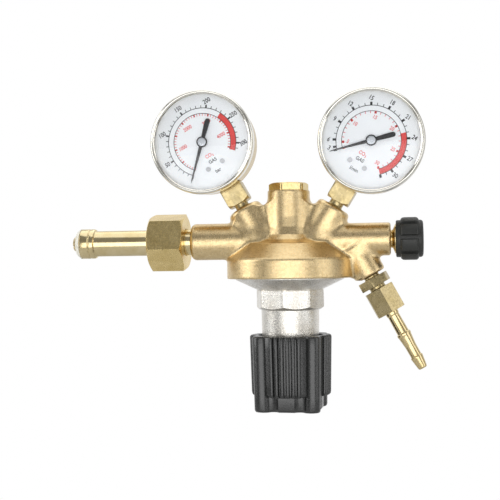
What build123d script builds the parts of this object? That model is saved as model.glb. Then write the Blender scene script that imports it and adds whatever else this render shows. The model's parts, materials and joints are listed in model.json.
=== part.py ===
"""Two-gauge carbon dioxide cylinder regulator, one STEP file for each piece.

Row frame, millimetres: the origin is the centre of the inlet seal's front face, on the inlet
axis. +X runs from the cylinder valve into the regulator, +Z is up, and the dials face -Y.
Every piece is drawn around the regulator's own axis (the vertical line through the diaphragm,
at the height of the inlet) and moved by REACH when it is written.
"""
import os
from math import cos, pi, radians, sin, tan

from build123d import *

# ---- driving dimensions (mm) -------------------------------------------------------------
REACH = 134.6            # seal face to the regulator's vertical axis
FIT = 0.02               # radial gap of a threaded or pressed joint inside one body
RUN = 0.06               # radial running clearance between moving bodies
GAP = 0.3                # clearance elsewhere between moving bodies

# forged body
INLET_PORT_R = 11.25
INLET_PORT_X = -60.5
OUTLET_PORT_R = 10.0
OUTLET_PORT_X = 61.6
TOP_BOSS_R = 13.0
TOP_BOSS_Z = 30.5
GAUGE_BOSS_R = 10.6
GAUGE_BOSS_FACE = (28.2, 20.5)
GAUGE_BOSS_LENGTH = 25.0
GAUGE_LEAN = {"contents": -29.3, "flow": 31.7}     # degrees of each stem from vertical
GAUGE_REACH = {"contents": 45.6, "flow": 44.1}     # boss face to gauge centre, along the stem
OUTLET_TILT = 151.5      # hose outlet, degrees from straight up
OUTLET_BOSS_R = 9.6
OUTLET_BOSS_FACE = (49.4, -22.1)
OUTLET_BOSS_LENGTH = 20.0
RELIEF_Z = 4.0
RELIEF_BOSS_R = 9.0
RELIEF_BOSS_Y = 31.0
FLANGE_R = 38.3
FLANGE_TOP = -11.8
FLANGE_BOTTOM = -23.0
CONE_TOP_R = 25.3
CONE_TOP_Z = -2.2
WEB_HALF = 8.0           # half thickness of the webs between the bosses

# cavities
CHAMBER_R = 7.5
CHAMBER_FLOOR = 9.0
SEAT_FLOOR = 5.0
PLUG_BORE_R = 8.0
PLUG_BORE_FLOOR = 20.0
GUIDE_R = 1.9
LOW_R = 27.0
LOW_ROOF = -10.5
DIAPHRAGM_Z = -16.5
DIAPHRAGM_THICK = 1.0
BONNET_THREAD_R = 33.4

# inlet
STEM_R = 8.0
STEM_END = -46.0
COLLAR_R = 9.35
COLLAR_X = (-131.6, -122.4)
SEAL_R = 9.5
NUT_AF = 32.0
NUT_X = (-86.4, -64.3)
NUT_TURN = 14.5          # degrees that the nut stands turned at rest
NUT_FACE_R = 15.8        # end faces, inside the turned-off corners
NUT_THREAD_R = 9.9
NUT_SHOULDER_X = -67.2
WASHER_THICK = 1.2

# bonnet and adjuster
BONNET_AF = 39.0
OCTAGON_Z = (-41.8, -30.0)
OCTAGON_TURN = 17.8
BARREL_R = 17.6
BONNET_BOTTOM = -68.0
BONNET_BORE_R = 14.5
SCREW_R = 4.9
SEAT_TOP = -52.0
SEAT_THICK = 3.0
SPRING_TOP = -20.5
KNOB_Z = (-102.9, -57.4)
KNOB_R = 25.0
KNOB_TURN = -3.0         # degrees that the knob stands turned at rest
PILLAR_R = 5.0
PILLAR_CENTRE_R = 22.2
PANEL_BOTTOM = -93.8
FLUTES = 6

# outlet valve and hose tail
GLAND_R = 6.5
GLAND_X = (50.0, 61.4)
SPINDLE_R = 4.0
PAD_SEAT_X = 41.0
VALVE_R = 4.2
SMALL_KNOB_X = (64.7, 81.2)
SMALL_KNOB_R = 11.2
LOBES = 8
LOBE_R = 12.9
UNION_HEX = (1.6, 7.0)    # distances from the outlet boss's face
UNION_NUT = (9.1, 24.9)
UNION_AF = 17.3
SPIGOT_R = 6.0
SPIGOT_LENGTH = 7.1
HOSE_BARB_R = 4.4
HOSE_NECK_R = 3.95

# gauges
BEZEL_R = 31.75
CASE_R = 30.6
CASE_BACK = -7.5
CASE_FRONT = 16.8
DIAL_FACE = 15.0
BLOCK_AF = 14.0
TUBE_R = 23.5
MODULE = 0.2
PINION_TEETH = 12
SECTOR_TEETH = 120       # teeth of the whole wheel that the sector is cut from
POINTER_SWEEP = 270.0
POINTER_ZERO = 225.0     # clockwise from the line of the stem
POINTER_TIP = 25.7
TAIL_R = 5.5             # sector pivot to link pin


# ---- helpers -----------------------------------------------------------------------------
def turned(*outline):
    """Solid of revolution about Z from a closed outline of (radius, height) points."""
    return revolve(make_face(Polyline(*[(r, 0, z) for r, z in outline], close=True)), Axis.Z)


def rod(radius, low, high):
    """Cylinder about Z between two heights."""
    return Pos(0, 0, low) * extrude(Circle(radius), high - low)


def ring(inner, outer, low, high):
    return rod(outer, low, high) - rod(inner, low, high)


def hexagon(across_flats, low, high, sides=6, turn=0.0, chamfer=0.0, ends=(1, 1)):
    """Prism about Z with its corners turned off by a cone at the chosen ends."""
    shape = RegularPolygon(across_flats / 2, sides, major_radius=False)
    prism = Pos(0, 0, low) * Rot(0, 0, turn) * extrude(shape, high - low)
    if not chamfer:
        return prism
    corner = across_flats / 2 / cos(pi / sides)
    flat = across_flats / 2
    drop = (corner - flat) * chamfer
    bottom = [(flat, low), (corner + 0.01, low + drop * ends[0])]
    top = [(corner + 0.01, high - drop * ends[1]), (flat, high)]
    return prism & turned((0, low), *bottom, *top, (0, high))


def helix_spring(mean_r, wire_r, low, high, turns):
    """Open-coil spring about Z whose coils' outsides end at the two heights."""
    rise = high - low - 2 * wire_r
    path = Helix(rise / turns, rise, mean_r)
    start = Plane(origin=path @ 0, z_dir=path % 0)
    return Pos(0, 0, low + wire_r) * sweep(start * Circle(wire_r), path, is_frenet=True)


def tooth_wheel(teeth, first, last, rim_r, half=0.11, tip_half=0.06):
    """Ring of straight-sided teeth, numbered clockwise from the top."""
    pitch_r = teeth * MODULE / 2
    root = pitch_r - 1.2 * MODULE
    tip = pitch_r + 0.8 * MODULE
    shape = Sketch()
    for number in range(first, last + 1):
        outline = Polyline((-half, rim_r), (-half, root), (-tip_half, tip), (tip_half, tip),
                           (half, root), (half, rim_r), close=True)
        shape += Rot(0, 0, -360 / teeth * (number + 0.5)) * make_face(outline)
    return shape


def bearing(angle, radius):
    """Point at a clockwise angle from the top."""
    return (radius * sin(radians(angle)), radius * cos(radians(angle)))


def at(point, direction_tilt):
    """Place with local Z leaning clockwise from vertical, at a point (x, z) of the front plane."""
    return Pos(point[0], 0, point[1]) * Rot(0, direction_tilt, 0)


def drill(radius, start, end):
    """Straight passage between two points."""
    path = Vector(*end) - Vector(*start)
    return Plane(origin=start, z_dir=path) * extrude(Circle(radius), path.length)


ALONG_X = Rot(0, 90, 0)
TO_BACK = Rot(-90, 0, 0)
FACING = Rot(90, 0, 0)
OUTLET = at(OUTLET_BOSS_FACE, OUTLET_TILT)
GAUGE_BOSS = {
    "contents": at((-GAUGE_BOSS_FACE[0], GAUGE_BOSS_FACE[1]), GAUGE_LEAN["contents"]),
    "flow": at(GAUGE_BOSS_FACE, GAUGE_LEAN["flow"]),
}
RELIEF = Pos(0, RELIEF_BOSS_Y, RELIEF_Z) * TO_BACK


# ---- forged body -------------------------------------------------------------------------
def body():
    flare = [(TOP_BOSS_R + 0.4, 13.0), (15.6, 4.6), (19.8, 0.2), (CONE_TOP_R, CONE_TOP_Z)]
    hub = turned((0, TOP_BOSS_Z), (TOP_BOSS_R - 0.8, TOP_BOSS_Z), (TOP_BOSS_R, TOP_BOSS_Z - 0.8),
                 *flare, (FLANGE_R - 1, FLANGE_TOP + 1), (FLANGE_R, FLANGE_TOP),
                 (FLANGE_R, FLANGE_BOTTOM + 0.8), (FLANGE_R - 0.8, FLANGE_BOTTOM),
                 (0, FLANGE_BOTTOM))
    shape = hub + Rot(0, -90, 0) * rounded_boss(INLET_PORT_R, -INLET_PORT_X, 2.5)
    shape += ALONG_X * rounded_boss(OUTLET_PORT_R, OUTLET_PORT_X, 1.2)
    for boss in GAUGE_BOSS.values():
        shape += boss * Pos(0, 0, -GAUGE_BOSS_LENGTH) * rounded_boss(
            GAUGE_BOSS_R, GAUGE_BOSS_LENGTH, 2.6)
    shape += OUTLET * Pos(0, 0, -OUTLET_BOSS_LENGTH) * rounded_boss(
        OUTLET_BOSS_R, OUTLET_BOSS_LENGTH, 1.6)
    shape += RELIEF * Pos(0, 0, -RELIEF_BOSS_Y) * rounded_boss(RELIEF_BOSS_R, RELIEF_BOSS_Y, 1.5)
    fan = [(-13, 22.5), (13, 22.5), (33, 12), (34, -9), (-34, -9), (-33, 12)]
    web = make_face(Polyline(*[(x, 0, z) for x, z in fan], close=True))
    shape += extrude(web, WEB_HALF, dir=(0, 1, 0), both=True)

    # valve chamber, plug thread, valve seat pocket and pin guide, from the top
    shape -= rod(PLUG_BORE_R + FIT, PLUG_BORE_FLOOR, TOP_BOSS_Z)
    shape -= rod(10.5, TOP_BOSS_Z - 0.5, TOP_BOSS_Z)
    shape -= rod(CHAMBER_R, CHAMBER_FLOOR, PLUG_BORE_FLOOR)
    shape -= rod(SEAT_R + FIT, SEAT_FLOOR, CHAMBER_FLOOR)
    shape -= rod(GUIDE_R, LOW_ROOF, SEAT_FLOOR)
    # low-pressure chamber and the bonnet's thread, from below
    shape -= rod(LOW_R, DIAPHRAGM_Z, LOW_ROOF)
    shape -= rod(BONNET_THREAD_R + FIT, FLANGE_BOTTOM, DIAPHRAGM_Z)
    # inlet: stem thread, then the high-pressure passage up to the valve chamber
    shape -= Pos(STEM_END, 0, 0) * Rot(0, -90, 0) * rod(STEM_R + FIT, 0, 20)
    shape -= drill(1.75, (STEM_END + 1, 0, 0), (-5, 0, 13))
    # gauge threads and passages
    for boss in GAUGE_BOSS.values():
        shape -= boss * rod(4.8 + FIT, -9.5, 0)
    shape -= GAUGE_BOSS["contents"] * rod(1.25, -15.0, -9)
    shape -= GAUGE_BOSS["flow"] * rod(1.25, -22.5, -9)
    # outlet: low-pressure passage, shut-off valve and its gland, hose branch
    shape -= drill(2.0, (12, 0, 0), (PAD_SEAT_X, 0, 0))
    shape -= drill(1.75, (16, 0, 0), (16, 0, LOW_ROOF - 1))
    shape -= drill(VALVE_R, (PAD_SEAT_X, 0, 0), (GLAND_X[0], 0, 0))
    shape -= drill(GLAND_R + FIT, (GLAND_X[0], 0, 0), (OUTLET_PORT_X, 0, 0))
    shape -= OUTLET * rod(5.0 + FIT, -8.2, 0)
    shape -= OUTLET * rod(1.6, -12.0, -8)
    shape -= drill(1.4, (44.4, 0, -3), (44.4, 0, -12.6))
    # relief valve thread and its passage down to the low-pressure chamber
    shape -= RELIEF * rod(5.0 + FIT, -8.2, 0)
    shape -= drill(1.4, (0, 22.0, RELIEF_Z), (0, 22.0, LOW_ROOF - 1))
    shape -= RELIEF * rod(1.4, -9.5, -8)
    return shape


def rounded_boss(radius, length, edge):
    """Round boss rising from Z = 0 with its rim rounded over."""
    boss = rod(radius, 0, length)
    return fillet(boss.edges().sort_by(Axis.Z)[-1], edge)


SEAT_R = 5.0


def valve_seat():
    blank = turned((1.6, SEAT_FLOOR), (SEAT_R, SEAT_FLOOR), (SEAT_R, CHAMBER_FLOOR),
                   (2.6, CHAMBER_FLOOR), (2.2, CHAMBER_FLOOR + 0.6), (1.6, CHAMBER_FLOOR + 0.6))
    return blank


def valve_plug():
    head = hexagon(22.0, TOP_BOSS_Z, TOP_BOSS_Z + 4.7, turn=-12.0, chamfer=0.6, ends=(0, 1))
    shank = rod(PLUG_BORE_R, PLUG_BORE_FLOOR + 0.5, TOP_BOSS_Z)
    spring_bore = rod(5.0, PLUG_BORE_FLOOR, 26.0)
    guide = rod(1.5 + RUN, 26.0, 29.0)
    return head + shank - spring_bore - guide


def plug_gasket():
    return ring(PLUG_BORE_R + FIT, 10.4, TOP_BOSS_Z - 0.5, TOP_BOSS_Z)


# ---- main valve --------------------------------------------------------------------------
POPPET_FOOT = CHAMBER_FLOOR + 0.6 + 0.05


def valve_poppet():
    head = turned((0, POPPET_FOOT), (3.6, POPPET_FOOT), (4.2, POPPET_FOOT + 0.6), (4.2, 13.4),
                  (3.6, 14.0), (1.5, 14.0), (1.5, 27.2), (0, 27.2))
    return head - rod(1.2, POPPET_FOOT, POPPET_FOOT + 1.5)


def poppet_spring():
    return helix_spring(3.2, 0.5, 14.05, 25.95, 6)


def valve_pin():
    return rod(1.2, -14.0, POPPET_FOOT + 1.5)


def diaphragm_plate():
    low = DIAPHRAGM_Z - DIAPHRAGM_THICK
    return turned((0, SPRING_TOP + 0.5), (8.6, SPRING_TOP + 0.5), (8.6, SPRING_TOP - 1.5),
                  (9.4, SPRING_TOP), (13.4, SPRING_TOP), (13.4, low - 0.6), (12.8, low),
                  (3.0, low), (3.0, -16.3), (7.5, -16.3), (7.5, -14.0), (0, -14.0))


def diaphragm():
    """Rubber disc with one rolled corrugation, clamped at its rim."""
    top = DIAPHRAGM_Z
    low = DIAPHRAGM_Z - DIAPHRAGM_THICK
    return turned((3.1, top), (18, top), (20, top + 0.9), (23, top + 0.9), (25, top),
                  (BONNET_THREAD_R - 0.1, top), (BONNET_THREAD_R - 0.1, low), (25, low),
                  (23, low + 0.9), (20, low + 0.9), (18, low), (3.1, low))


def slip_ring():
    top = DIAPHRAGM_Z - DIAPHRAGM_THICK
    return ring(28.0, BONNET_THREAD_R - 0.1, top - 0.8, top)


# ---- bonnet, spring and adjuster ---------------------------------------------------------
def bonnet():
    rim = DIAPHRAGM_Z - DIAPHRAGM_THICK - 0.8
    outer = turned((0, rim), (BONNET_THREAD_R, rim), (BONNET_THREAD_R, FLANGE_BOTTOM - 0.4),
                   (20.4, OCTAGON_Z[1] + 0.2), (20.4, OCTAGON_Z[1]), (BARREL_R, OCTAGON_Z[1]),
                   (BARREL_R, OCTAGON_Z[0]), (BARREL_R - 0.35, BONNET_BOTTOM + 1),
                   (BARREL_R - 1.3, BONNET_BOTTOM), (0, BONNET_BOTTOM))
    outer += hexagon(BONNET_AF, *OCTAGON_Z, sides=8, turn=OCTAGON_TURN - 90, chamfer=0.7)
    outer -= turned((0, rim), (27.5, rim), (27.5, rim - 3.2), (BONNET_BORE_R, -28.5),
                    (BONNET_BORE_R, -60.0), (0, -62.0))
    vent = Pos(0, 0, -49) * Rot(0, 0, 135) * Rot(0, 90, 0) * rod(1.0, 10, 20)
    return outer - rod(SCREW_R + RUN, BONNET_BOTTOM, -60) - vent


def main_spring():
    return helix_spring(10.9, 1.6, SEAT_TOP + 0.05, SPRING_TOP - 0.05, 6)


def spring_seat():
    low = SEAT_TOP - SEAT_THICK
    disc = turned((0, SEAT_TOP + 2), (8.2, SEAT_TOP + 2), (8.6, SEAT_TOP), (13.6, SEAT_TOP),
                  (13.6, low + 0.4), (13.2, low), (0, low))
    return disc - turned((0, low + 1.4), (3.2, low), (0, low))


def adjusting_screw():
    tip = SEAT_TOP - SEAT_THICK
    shank = turned((0, tip + 1.25), (0.6, tip + 1.1), (2.9, tip - 0.1), (3.4, tip - 0.6),
                   (SCREW_R, tip - 2.0), (SCREW_R, -88), (0, -88))
    return shank + hexagon(16.0, -88.0, -80.0, turn=KNOB_TURN)


def knob_section():
    """Outline of the knob above its foot: four pillars on the corners, fluted panels between."""
    shape = Circle(KNOB_R - 1.6)
    for quarter in range(4):
        shape += Rot(0, 0, 45 + 90 * quarter) * Pos(PILLAR_CENTRE_R, 0) * Circle(PILLAR_R)
        for flute in range(FLUTES):
            angle = 90 * quarter + (flute - (FLUTES - 1) / 2) * 8.4
            shape += Rot(0, 0, angle) * Pos(KNOB_R - 1.25, 0) * Circle(1.25)
    return shape


def foot_section():
    """Outline of the knob's foot: the four pillars on a square core with hollowed corners."""
    shape = RectangleRounded(40.0, 40.0, 6.0)
    for quarter in range(4):
        shape += Rot(0, 0, 45 + 90 * quarter) * Pos(PILLAR_CENTRE_R, 0) * Circle(PILLAR_R)
        for side in (-1, 1):
            cove = Pos(23.4, side * 9.6) * Circle(5.6)
            shape -= Rot(0, 0, 90 * quarter) * cove
    return shape


def adjusting_knob():
    grip = Pos(0, 0, PANEL_BOTTOM) * extrude(knob_section(), KNOB_Z[1] - PANEL_BOTTOM)
    foot = Pos(0, 0, KNOB_Z[0]) * extrude(foot_section(), PANEL_BOTTOM - KNOB_Z[0])
    shape = grip + foot
    shape -= rod(20.0, -76.0, KNOB_Z[1])
    shape -= rod(SCREW_R + FIT, -90.0, -76.0)
    shape -= hexagon(16.0 + 2 * FIT, -88.0 - FIT, -80.0 + FIT)
    return Rot(0, 0, KNOB_TURN) * shape


# ---- inlet -------------------------------------------------------------------------------
def inlet_stem():
    front, back = COLLAR_X
    groove = -125.9
    shape = turned((2.5, front), (COLLAR_R - 0.4, front), (COLLAR_R, front + 0.4),
                   (COLLAR_R, groove - 0.4), (COLLAR_R - 0.5, groove), (COLLAR_R, groove + 0.4),
                   (COLLAR_R, back - 1.2), (COLLAR_R - 1.0, back), (STEM_R, back),
                   (STEM_R, STEM_END - 0.8), (STEM_R - 0.8, STEM_END), (2.5, STEM_END))
    shape -= rod(5.4, front, front + 6.0)
    return ALONG_X * shape


def inlet_seal():
    face, back = -REACH, COLLAR_X[0]
    return ALONG_X * turned((5.4 + FIT, face), (6.9, face), (7.7, face + 0.35), (SEAL_R - 0.5, face + 1.9),
                            (SEAL_R, face + 2.5), (SEAL_R, back), (5.4 + FIT, back))


def inlet_filter():
    """Brass nose with gas entry slots, which carries the sintered filter behind the seal."""
    tip = -REACH - 2.8
    nose = turned((0, tip), (2.4, tip), (4.2, tip + 0.7), (5.2, tip + 1.9), (5.4, tip + 3.0),
                  (5.4 - FIT, COLLAR_X[0] + 6.0), (0, COLLAR_X[0] + 6.0))
    nose -= rod(2.2, tip + 3.0, COLLAR_X[0] + 6.0)
    for turn in (25, 115):
        nose -= Pos(0, 0, tip) * Rot(0, 0, turn) * Box(12, 1.5, 3.6)
    nose -= rod(1.6, tip, tip + 4.0)
    return ALONG_X * nose


def thrust_washer():
    return ALONG_X * ring(STEM_R + RUN, NUT_THREAD_R - GAP, NUT_SHOULDER_X - WASHER_THICK - 0.1,
                          NUT_SHOULDER_X - 0.1)


def inlet_nut():
    """Swivel nut, threaded from its left end, with its corners turned off at both ends."""
    low, high = NUT_X
    prism = hexagon(NUT_AF, low, high, turn=NUT_TURN)
    corner = NUT_AF / 2 / cos(pi / 6) + 0.1
    drop = corner - NUT_FACE_R
    cone = turned((0, low), (NUT_FACE_R, low), (corner, low + drop * tan(radians(30))),
                  (corner, high - drop * tan(radians(24))), (NUT_FACE_R, high), (0, high))
    nut = prism & cone
    nut -= rod(NUT_THREAD_R, low, NUT_SHOULDER_X)
    return ALONG_X * (nut - rod(STEM_R + GAP, low, high))


# ---- outlet valve ------------------------------------------------------------------------
def outlet_gland():
    low, high = GLAND_X
    gland = ring(SPINDLE_R + RUN, GLAND_R, low, high)
    groove = ring(SPINDLE_R, 5.7, 54.0, 55.7)
    return ALONG_X * (gland - groove)


def spindle_seal():
    return ALONG_X * Pos(0, 0, 54.85) * Torus(SPINDLE_R + RUN + 0.75, 0.75)


def outlet_spindle():
    face = SMALL_KNOB_X[0]
    return ALONG_X * turned((0, 44.6), (1.6, 44.6), (1.6, 45.6), (SPINDLE_R, 45.6),
                            (SPINDLE_R, 61.7), (5.4, 61.7), (5.4, 62.7), (7.4, face - 0.6),
                            (8.9, face - 0.5), (8.9, face), (3.5, face), (3.5, 77.0), (0, 77.0))


def outlet_valve_pad():
    return ALONG_X * turned((0, PAD_SEAT_X + 0.05), (3.2, PAD_SEAT_X + 0.05), (3.6, PAD_SEAT_X + 0.6),
                            (3.6, 45.5), (1.7, 45.5), (1.7, 44.5), (0, 44.5))


def outlet_knob():
    left, right = SMALL_KNOB_X
    shape = turned((0, left), (SMALL_KNOB_R - 0.5, left), (SMALL_KNOB_R, left + 0.5),
                   (SMALL_KNOB_R, right - 2.2), (SMALL_KNOB_R - 1.0, right - 0.8), (8.0, right),
                   (0, right))
    slot = 2.2
    lobes = turned((0, 67.6), (SMALL_KNOB_R, 67.6), (LOBE_R, 69.0), (LOBE_R, 77.0),
                   (SMALL_KNOB_R, 78.2), (0, 78.2))
    for number in range(LOBES):
        turn = 360 / LOBES * number - 3.0
        lobes -= Rot(0, 0, turn) * Pos(0, LOBE_R + 5.0, 73) * Box(slot, 2 * 6.4, 14)
    return ALONG_X * (shape + lobes - rod(3.5 + FIT, left, 77.0 + FIT))


def outlet_union():
    """Threaded nipple: shank in the boss, hexagon, and the spigot that the union nut screws to."""
    low, high = UNION_HEX
    nut = UNION_NUT[0]
    tip = nut + SPIGOT_LENGTH
    shape = turned((1.6, -8.0), (5.0, -8.0), (5.0, 0), (5.1, 0), (5.1, nut),
                   (SPIGOT_R, nut + 0.5), (SPIGOT_R, tip), (3.6, tip), (1.6, tip - 2.5))
    shape += hexagon(UNION_AF, low, high, turn=8.0, chamfer=0.3) - rod(5.0, low, high)
    return OUTLET * shape


def union_nut():
    low, high = UNION_NUT
    shoulder = high - 5.3
    blank = hexagon(UNION_AF, low, high, turn=-6.0, chamfer=0.3)
    blank -= rod(SPIGOT_R + FIT, low, shoulder)
    return OUTLET * (blank - rod(HOSE_NECK_R + FIT, shoulder, high))


def hose_tail():
    seat = UNION_NUT[0] + SPIGOT_LENGTH
    end = UNION_NUT[1]
    outline = [(1.4, seat - 2.4), (3.5, seat), (5.6, seat + 0.6), (5.9, seat + 1.4),
               (5.9, end - 5.4), (HOSE_NECK_R, end - 5.4), (HOSE_NECK_R, end + 1.9), (3.55, end + 2.3),
               (3.7, end + 14.4), (HOSE_BARB_R, end + 14.7), (HOSE_BARB_R, end + 16.1),
               (3.35, end + 23.0), (3.25, end + 30.0), (3.85, end + 30.4), (3.85, end + 31.2),
               (2.9, end + 37.9), (2.5, end + 38.5), (1.4, end + 38.5)]
    return OUTLET * turned(*outline)


# ---- relief valve on the back ------------------------------------------------------------
def relief_body():
    shape = hexagon(14.0, 0.0, 5.0, chamfer=0.5) + rod(5.0, -8.0, 0) + rod(6.2, 5.0, 12.0)
    shape -= rod(1.3, -8.0, 0.0)
    return RELIEF * (shape - rod(4.4, 0.0, 12.0))


def relief_poppet():
    return RELIEF * turned((0, 0.1), (3.0, 0.1), (4.1, 0.6), (4.1, 2.6), (1.2, 2.6), (1.2, 8.0),
                           (0, 8.0))


def relief_spring():
    return RELIEF * helix_spring(2.6, 0.4, 2.65, 11.35, 6)


def relief_cap():
    shape = turned((4.2, 9.0), (4.2, 11.4), (0, 11.4), (0, 14.4), (6.6, 14.4), (7.4, 13.6),
                   (7.4, 6.0), (6.2 + FIT, 6.0), (6.2 + FIT, 12.0), (4.38, 12.0), (4.38, 9.0))
    for number in range(4):
        shape -= Rot(0, 0, 90 * number) * Pos(3.0, 0, 0) * rod(0.7, 11.0, 14.6)
    return RELIEF * (shape - rod(1.5, 11.0, 13.0))


# ---- gauges: drawn with x right, y along the stem away from the body, z to the viewer ----
def gauge_case():
    cup = rod(CASE_R, CASE_BACK, CASE_FRONT)
    cup = fillet(cup.edges().sort_by(Axis.Z)[0], 2.0)
    cup -= rod(CASE_R - 1.0, CASE_BACK + 1.0, CASE_FRONT)
    cup -= Pos(0, 14, 0) * rod(4.0, CASE_BACK, CASE_BACK + 2)
    return cup - FACING * Pos(0, 0, 0) * rod(5.6, 20, 40)


def gauge_bezel():
    return turned((29.0, 18.4), (29.0, 19.3), (29.4, 19.5), (30.6, 19.5), (BEZEL_R, 18.3),
                  (BEZEL_R, 12.9), (BEZEL_R - 0.4, 12.5), (CASE_R + FIT, 12.5), (CASE_R + FIT, 18.4))


def gauge_lens():
    return turned((0, CASE_FRONT), (CASE_R - FIT, CASE_FRONT), (CASE_R - FIT, 18.4), (29.0, 18.4),
                  (26.0, 18.7), (0, 18.9))


def gauge_dial():
    disc = ring(1.5, 29.5, DIAL_FACE - 0.6, DIAL_FACE)
    for angle in DIAL_SCREW_BEARINGS:
        disc -= Pos(*bearing(angle, 17.0)) * rod(0.8, DIAL_FACE - 1, DIAL_FACE)
    return disc


DIAL_SCREW_BEARINGS = (163, 197)
PLATE_LEVELS = ((1.0, 1.8), (6.0, 6.8))


def dial_screw_pair():
    pair = Part()
    for angle in DIAL_SCREW_BEARINGS:
        screw = rod(0.75, DIAL_FACE - 2.6, DIAL_FACE) + rod(1.5, DIAL_FACE, DIAL_FACE + 0.6)
        screw -= Pos(0, 0, DIAL_FACE + 0.6) * Box(4, 0.4, 0.6)
        pair += Pos(*bearing(angle, 17.0)) * screw
    return pair


def gauge_movement():
    """Two plates on pillars, with the posts that the dial is screwed to."""
    shape = Part()
    outline = Pos(0, -9.5) * RectangleRounded(13.0, 25.0, 3.0)
    for low, high in PLATE_LEVELS:
        shape += Pos(0, 0, low) * extrude(outline, high - low)
    for x in (-5.6, 5.6):
        for y in (-20.6, 1.6):
            shape += Pos(x, y) * rod(0.8, 1.0, 6.8)
    for angle in DIAL_SCREW_BEARINGS:
        post = rod(1.4, 6.8, DIAL_FACE - 0.6) - rod(0.75 + FIT, DIAL_FACE - 2.7, DIAL_FACE)
        shape += Pos(*bearing(angle, 17.0)) * post
    shape -= rod(0.8 + RUN, 0, 7)
    return shape - Pos(0, -SECTOR_CENTRE) * rod(0.8 + RUN, 0, 7)


SECTOR_R = SECTOR_TEETH * MODULE / 2
SECTOR_CENTRE = SECTOR_R + PINION_TEETH * MODULE / 2
SECTOR_SWING = POINTER_SWEEP * PINION_TEETH / SECTOR_TEETH
TAIL_REST = 180 + SECTOR_SWING / 2
LINK_Y = -SECTOR_CENTRE - TAIL_R * (1 + cos(radians(SECTOR_SWING / 2))) / 2
TIP_PIN_X = 15.5


def sector_gear():
    rim = Circle(11.75) - Circle(10.6)
    arc = SECTOR_SWING + 10
    wedge = Polyline((0, 0), bearing(-5, 16), bearing(arc / 2 - 5, 16), bearing(arc - 5, 16),
                     close=True)
    rim &= make_face(wedge)
    step = 360 / SECTOR_TEETH
    rim += tooth_wheel(SECTOR_TEETH, -1, int(SECTOR_SWING / step), 11.0)
    for angle in (-2, SECTOR_SWING + 2):
        rim += Rot(0, 0, -angle) * Pos(0, 5.7) * Rectangle(1.3, 10.2)
    rim += Circle(1.8)
    rim += Rot(0, 0, -TAIL_REST) * Pos(0, TAIL_R / 2) * SlotCenterToCenter(TAIL_R, 1.8, rotation=90)
    gear = Pos(0, 0, 3.0) * extrude(rim, 1.0) + rod(0.8, 1.05, 6.75)
    gear += Pos(*bearing(TAIL_REST, TAIL_R)) * rod(0.35, 4.0, 5.2)
    return Pos(0, -SECTOR_CENTRE) * gear


def pointer_link():
    start = bearing(TAIL_REST, TAIL_R)[0]
    span = TIP_PIN_X - start
    outline = Pos((TIP_PIN_X + start) / 2, LINK_Y) * SlotCenterToCenter(span, 2.0)
    outline -= Pos(start, LINK_Y) * Circle(0.62)
    outline -= Pos(TIP_PIN_X, LINK_Y) * Circle(0.62)
    return Pos(0, 0, 4.2) * extrude(outline, 0.7)


def bourdon_tube():
    """C-shaped flattened tube from the socket round to its free tip, with the link's pin."""
    start, sweep_angle = 192.0, 293.0
    section = Plane.XZ * Pos(TUBE_R, 0) * RectangleRounded(2.0, 5.0, 0.9)
    tube = Rot(0, 0, 90 - start) * revolve(section, Axis.Z, -sweep_angle)
    tip = bearing(start + sweep_angle - 2, TUBE_R)
    pin = (TIP_PIN_X, LINK_Y)
    arm = Vector(pin[0] - tip[0], pin[1] - tip[1])
    bracket = Pos((tip[0] + pin[0]) / 2, (tip[1] + pin[1]) / 2) * SlotCenterToCenter(
        arm.length, 2.0, rotation=Vector(1, 0).get_signed_angle(arm, Vector(0, 0, 1)))
    tube += Pos(0, 0, 2.0) * extrude(bracket, 1.2)
    return tube + Pos(*pin) * rod(0.35, 3.0, 5.2)


def gauge_stem(reach):
    """Square wrench block with its threaded shank, and the socket that carries the tube."""
    top, bottom = 31.2, reach - 3.2
    block = Pos(0, -(top + bottom) / 2, 0) * Box(BLOCK_AF, bottom - top, BLOCK_AF)
    stem = FACING * (rod(4.9, bottom, reach) + rod(4.8, reach, reach + 9.0))
    stem += FACING * rod(5.5, 28.5, 32.0)
    inner = Pos(0, -24.75, -2.25) * Box(11, 8.5, 6.5)
    bed = Pos(0, -17.0, 0.0) * Box(8, 12, 2.0)
    shape = block + stem + inner + bed
    shape -= FACING * rod(1.5, 22.5, reach + 9.0)
    channel = Plane.XZ * Pos(TUBE_R, 0) * RectangleRounded(2.0 + 2 * FIT, 5.0 + 2 * FIT, 0.9)
    shape -= Rot(0, 0, 90 - 192.0) * revolve(channel, Axis.Z, -40)
    return shape


def blowout_disc():
    return Pos(0, 14, 0) * (rod(4.0 - FIT, CASE_BACK, CASE_BACK + 1) + rod(
        5.2, CASE_BACK - 0.6, CASE_BACK))


def gauge_pointer():
    """Tapering blade with a paddle tail, drawn straight up and then turned to zero."""
    blade = make_face(Polyline((-1.3, 0), (-1.05, 4), (0, POINTER_TIP), (1.05, 4), (1.3, 0), close=True))
    tail = Pos(0, -7.3) * SlotCenterToCenter(11.9, 2.7, rotation=90)
    shape = extrude(blade + tail + Circle(3.1), 0.4)
    shape += extrude(Circle(2.4), 0.7)
    return Rot(0, 0, -POINTER_ZERO) * Pos(0, 0, DIAL_FACE + 0.7) * shape


def gauge_pinion():
    wheel = tooth_wheel(PINION_TEETH, 0, PINION_TEETH - 1, 0.5)
    shape = Pos(0, 0, 2.6) * extrude(Rot(0, 0, -15) * wheel + Circle(0.9), 1.8)
    return shape + rod(0.8, 1.05, DIAL_FACE + 0.7)


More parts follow.
